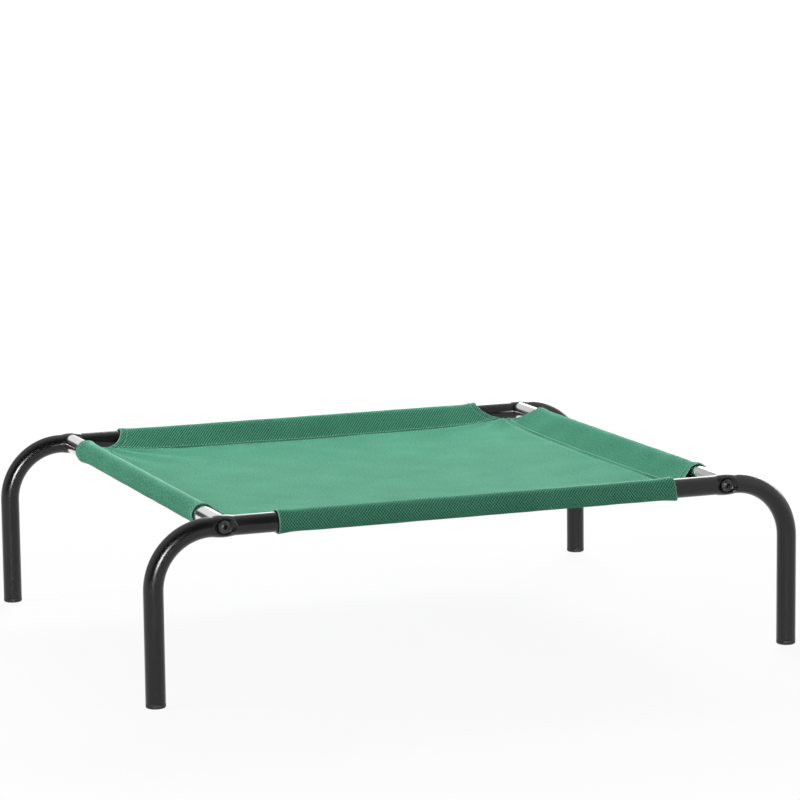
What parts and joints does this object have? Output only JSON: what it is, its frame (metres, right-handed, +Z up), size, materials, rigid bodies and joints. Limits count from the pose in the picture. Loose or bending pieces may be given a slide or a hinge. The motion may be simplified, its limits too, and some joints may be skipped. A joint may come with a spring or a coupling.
{
  "type": "raised pet cot",
  "caption": "Low raised pet cot: a sheet of woven fabric stretched on sewn sleeves between bent tube rails with legs and plain cross bars.",
  "frame": {"origin": "on the floor under the middle of the bed", "axes": "+X to the right along the long side, +Y to the rear, +Z up"},
  "size_m": [0.776, 0.6152, 0.2036],
  "materials": {
    "frame_tube": "satin black powder coat",
    "cross_bar": "bright zinc plated",
    "insert": "plain zinc plated",
    "bolt": "black oxide",
    "foot": "matt black",
    "bed_fabric": "woven mesh, matt"
  },
  "bodies": {
    "root": {"front_left_leg_rail": "frame_tube", "front_right_leg_rail": "frame_tube", "rear_left_leg_rail": "frame_tube", "rear_right_leg_rail": "frame_tube", "left_cross_bar": "cross_bar", "right_cross_bar": "cross_bar", "front_left_insert": "insert", "front_right_insert": "insert", "rear_left_insert": "insert", "rear_right_insert": "insert", "front_left_bolt": "bolt", "front_right_bolt": "bolt", "rear_left_bolt": "bolt", "rear_right_bolt": "bolt", "front_left_foot": "foot", "front_right_foot": "foot", "rear_left_foot": "foot", "rear_right_foot": "foot", "bed_fabric": "bed_fabric"}
  },
  "joints": []
}
